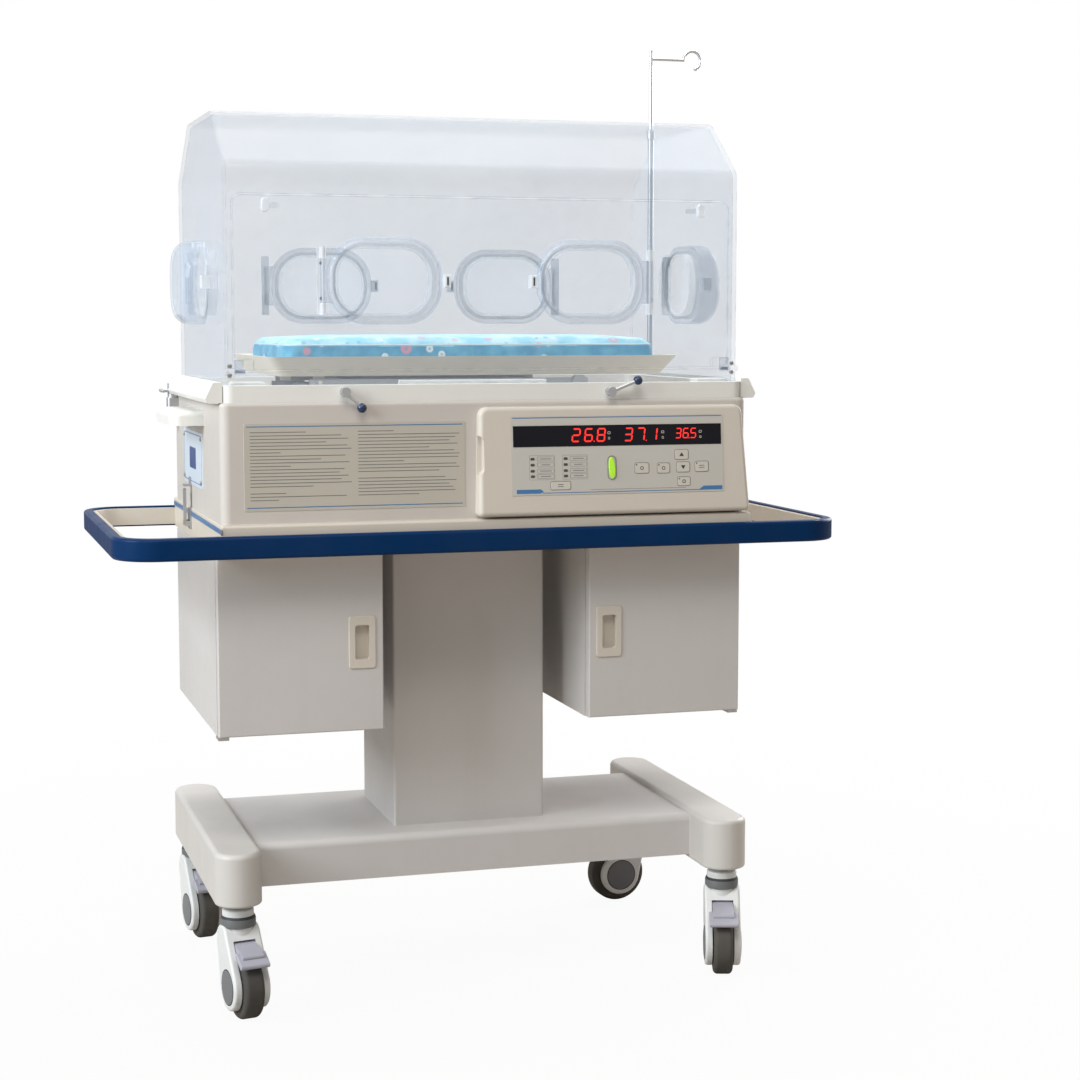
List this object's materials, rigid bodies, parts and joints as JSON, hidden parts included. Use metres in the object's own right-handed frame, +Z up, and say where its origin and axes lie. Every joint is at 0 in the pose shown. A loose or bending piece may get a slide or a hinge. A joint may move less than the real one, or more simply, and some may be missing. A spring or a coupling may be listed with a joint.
{
  "type": "infant incubator",
  "caption": "Infant incubator: clear hood with hand ports over a tilting mattress tray, control display, bumper deck, cabinets and a castered stand with an infusion pole.",
  "frame": {"origin": "on the floor, under the middle of the bumper ring", "axes": "+X to the right along the front, +Y from the front to the back, +Z up"},
  "size_m": [1.15, 0.6008, 1.5305],
  "materials": {
    "painted_panel": "satin powder coat",
    "foot_plastic": "smooth moulded, satin",
    "bumper_blue": "smooth moulded blue",
    "deck_cream": "satin powder coat",
    "body_cream": "fine moulded grain",
    "display_cream": "fine moulded grain",
    "display_face": "printed film",
    "display_window": "dark tinted window",
    "seat_white": "smooth moulded white",
    "clear_acrylic": "clear polished acrylic",
    "clear_door": "clear moulded plastic",
    "port_ring": "translucent white",
    "fitting_grey": "light grey moulded",
    "tray_beige": "satin moulded",
    "mattress_fabric": "light blue woven cover",
    "steel": "brushed",
    "chrome": "polished",
    "caster_plastic": "smooth moulded light grey",
    "pedal_grey": "smooth moulded blue-grey",
    "tyre_grey": "grey rubber"
  },
  "bodies": {
    "stand": {"foot_left": "foot_plastic", "foot_right": "foot_plastic", "base_beam": "painted_panel", "column_cover": "painted_panel", "deck_frame": "deck_cream", "bumper_rail": "bumper_blue", "cabinet_left": "painted_panel", "cabinet_right": "painted_panel", "cabinet_pivots": "steel", "caster_stems": "steel", "body_housing": "body_cream", "display_case": "display_cream", "display_face": "display_face", "display_window": "display_window", "side_grip": "seat_white", "latch_plates": "steel", "pole_sockets": "chrome", "pole_tube": "chrome", "hood_seat": "seat_white", "tilt_brackets": "chrome"},
    "swivel_front_left": {"caster_housing_front_left": "caster_plastic"},
    "brake_front_left": {"brake_pedal_front_left": "pedal_grey"},
    "roller_front_left": {"wheel_front_left": "tyre_grey"},
    "swivel_front_right": {"caster_housing_front_right": "caster_plastic"},
    "brake_front_right": {"brake_pedal_front_right": "pedal_grey"},
    "roller_front_right": {"wheel_front_right": "tyre_grey"},
    "swivel_back_left": {"caster_housing_back_left": "caster_plastic"},
    "brake_back_left": {"brake_pedal_back_left": "pedal_grey"},
    "roller_back_left": {"wheel_back_left": "tyre_grey"},
    "swivel_back_right": {"caster_housing_back_right": "caster_plastic"},
    "brake_back_right": {"brake_pedal_back_right": "pedal_grey"},
    "roller_back_right": {"wheel_back_right": "tyre_grey"},
    "door_left": {"cabinet_door_left": "painted_panel", "door_pull_left": "display_cream"},
    "door_right": {"cabinet_door_right": "painted_panel", "door_pull_right": "display_cream"},
    "hood": {"hood_shell": "clear_acrylic", "hood_port_rings": "port_ring", "hood_port_fittings": "fitting_grey"},
    "panel": {"front_panel": "clear_acrylic", "panel_port_rings": "port_ring", "panel_port_fittings": "fitting_grey"},
    "port_front_left": {"port_door_front_left": "clear_door"},
    "port_front_right": {"port_door_front_right": "clear_door"},
    "port_back_left": {"port_door_back_left": "clear_door"},
    "port_back_right": {"port_door_back_right": "clear_door"},
    "port_end_left": {"port_door_end_left": "clear_door"},
    "port_end_right": {"port_door_end_right": "clear_door"},
    "latch_left": {"panel_latch_left": "fitting_grey"},
    "latch_right": {"panel_latch_right": "fitting_grey"},
    "carrier": {"tray_carrier": "steel"},
    "tray": {"mattress_tray": "tray_beige", "mattress": "mattress_fabric"},
    "lever_left": {"tilt_lever_left": "chrome"},
    "lever_right": {"tilt_lever_right": "chrome"},
    "toggle_left": {"toggle_left": "steel"},
    "toggle_right": {"toggle_right": "steel"},
    "screw_left": {"clamp_screw_left": "chrome"},
    "screw_right": {"clamp_screw_right": "chrome"},
    "pole": {"pole_rod": "chrome"}
  },
  "joints": [
    {"name": "caster_swivel_front_left", "type": "hinge", "parent": "stand", "child": "swivel_front_left", "pos_m": [-0.395, -0.226, 0.141], "axis": [0, 0, 1], "continuous": true},
    {"name": "wheel_spin_front_left", "type": "hinge", "parent": "swivel_front_left", "child": "roller_front_left", "pos_m": [-0.38979, -0.25554, 0.05], "axis": [0.9848, 0.1736, 0], "continuous": true},
    {"name": "brake_press_front_left", "type": "hinge", "parent": "swivel_front_left", "child": "brake_front_left", "pos_m": [-0.39153, -0.2457, 0.11], "axis": [0.9848, 0.1736, 0], "range_deg": [0, 6]},
    {"name": "caster_swivel_front_right", "type": "hinge", "parent": "stand", "child": "swivel_front_right", "pos_m": [0.395, -0.226, 0.141], "axis": [0, 0, 1], "continuous": true},
    {"name": "wheel_spin_front_right", "type": "hinge", "parent": "swivel_front_right", "child": "roller_front_right", "pos_m": [0.38573, -0.25453, 0.05], "axis": [0.9511, -0.309, 0], "continuous": true},
    {"name": "brake_press_front_right", "type": "hinge", "parent": "swivel_front_right", "child": "brake_front_right", "pos_m": [0.38882, -0.24502, 0.11], "axis": [0.9511, -0.309, 0], "range_deg": [0, 6]},
    {"name": "caster_swivel_back_left", "type": "hinge", "parent": "stand", "child": "swivel_back_left", "pos_m": [-0.395, 0.226, 0.141], "axis": [0, 0, 1], "continuous": true},
    {"name": "wheel_spin_back_left", "type": "hinge", "parent": "swivel_back_left", "child": "roller_back_left", "pos_m": [-0.39082, 0.19629, 0.05], "axis": [0.9903, 0.1392, 0], "continuous": true},
    {"name": "brake_press_back_left", "type": "hinge", "parent": "swivel_back_left", "child": "brake_back_left", "pos_m": [-0.39222, 0.20619, 0.11], "axis": [0.9903, 0.1392, 0], "range_deg": [0, 6]},
    {"name": "caster_swivel_back_right", "type": "hinge", "parent": "stand", "child": "swivel_back_right", "pos_m": [0.395, 0.226, 0.141], "axis": [0, 0, 1], "continuous": true},
    {"name": "wheel_spin_back_right", "type": "hinge", "parent": "swivel_back_right", "child": "roller_back_right", "pos_m": [0.36507, 0.22391, 0.05], "axis": [0.0698, -0.9976, 0], "continuous": true},
    {"name": "brake_press_back_right", "type": "hinge", "parent": "swivel_back_right", "child": "brake_back_right", "pos_m": [0.37505, 0.2246, 0.11], "axis": [0.0698, -0.9976, 0], "range_deg": [0, 6]},
    {"name": "cabinet_door_left", "type": "hinge", "parent": "stand", "child": "door_left", "pos_m": [-0.416, -0.215, 0.5645], "axis": [0, 0, -1], "range_deg": [0, 100]},
    {"name": "cabinet_door_right", "type": "hinge", "parent": "stand", "child": "door_right", "pos_m": [0.416, -0.215, 0.5645], "axis": [0, 0, 1], "range_deg": [0, 100]},
    {"name": "hood_lift", "type": "slide", "parent": "stand", "child": "hood", "axis": [0, 0, 1], "range_m": [0, 0.45]},
    {"name": "panel_drop", "type": "hinge", "parent": "hood", "child": "panel", "pos_m": [0, -0.247, 0.978], "axis": [1, 0, 0], "range_deg": [0, 100]},
    {"name": "port_open_front_left", "type": "hinge", "parent": "panel", "child": "port_front_left", "pos_m": [-0.258, -0.2485, 1.112], "axis": [0, 0, -1], "range_deg": [0, 120]},
    {"name": "port_open_front_right", "type": "hinge", "parent": "panel", "child": "port_front_right", "pos_m": [0.258, -0.2485, 1.112], "axis": [0, 0, 1], "range_deg": [0, 120]},
    {"name": "port_open_back_left", "type": "hinge", "parent": "hood", "child": "port_back_left", "pos_m": [-0.258, 0.2625, 1.112], "axis": [0, 0, 1], "range_deg": [0, 120]},
    {"name": "port_open_back_right", "type": "hinge", "parent": "hood", "child": "port_back_right", "pos_m": [0.258, 0.2625, 1.112], "axis": [0, 0, -1], "range_deg": [0, 120]},
    {"name": "port_open_end_left", "type": "hinge", "parent": "hood", "child": "port_end_left", "pos_m": [-0.4125, 0.095, 1.112], "axis": [0, 0, -1], "range_deg": [0, 120]},
    {"name": "port_open_end_right", "type": "hinge", "parent": "hood", "child": "port_end_right", "pos_m": [0.4125, 0.095, 1.112], "axis": [0, 0, 1], "range_deg": [0, 120]},
    {"name": "latch_turn_left", "type": "hinge", "parent": "panel", "child": "latch_left", "pos_m": [-0.343, -0.241, 1.223], "axis": [0, -1, 0], "range_deg": [0, 90]},
    {"name": "latch_turn_right", "type": "hinge", "parent": "panel", "child": "latch_right", "pos_m": [0.343, -0.241, 1.223], "axis": [0, 1, 0], "range_deg": [0, 90]},
    {"name": "carrier_tilt", "type": "hinge", "parent": "stand", "child": "carrier", "pos_m": [0.17, 0, 0.958], "axis": [0, 1, 0], "range_deg": [0, 8]},
    {"name": "tray_tilt", "type": "hinge", "parent": "carrier", "child": "tray", "pos_m": [-0.246, 0, 0.958], "axis": [0, -1, 0], "range_deg": [0, 8]},
    {"name": "lever_left_turn", "type": "hinge", "parent": "stand", "child": "lever_left", "pos_m": [-0.229, 0, 0.947], "axis": [0, -1, 0], "range_deg": [0, 80]},
    {"name": "lever_right_turn", "type": "hinge", "parent": "stand", "child": "lever_right", "pos_m": [0.189, 0, 0.944], "axis": [0, 1, 0], "range_deg": [0, 36]},
    {"name": "toggle_open_left", "type": "hinge", "parent": "stand", "child": "toggle_left", "pos_m": [-0.4255, 0.07, 0.726], "axis": [0, -1, 0], "range_deg": [0, 110]},
    {"name": "toggle_open_right", "type": "hinge", "parent": "stand", "child": "toggle_right", "pos_m": [0.4255, 0.07, 0.726], "axis": [0, 1, 0], "range_deg": [0, 110]},
    {"name": "screw_turn_left", "type": "hinge", "parent": "stand", "child": "screw_left", "pos_m": [-0.435, 0.218, 0.936], "axis": [1, 0, 0], "continuous": true},
    {"name": "screw_turn_right", "type": "hinge", "parent": "stand", "child": "screw_right", "pos_m": [0.435, 0.218, 0.936], "axis": [1, 0, 0], "continuous": true},
    {"name": "pole_height", "type": "slide", "parent": "stand", "child": "pole", "axis": [0, 0, 1], "range_m": [-0.105, 0.24]}
  ],
  "couplings": [
    {"joint": "lever_left_turn", "follows": "carrier_tilt", "ratio": 10},
    {"joint": "lever_right_turn", "follows": "tray_tilt", "ratio": 4.5}
  ]
}
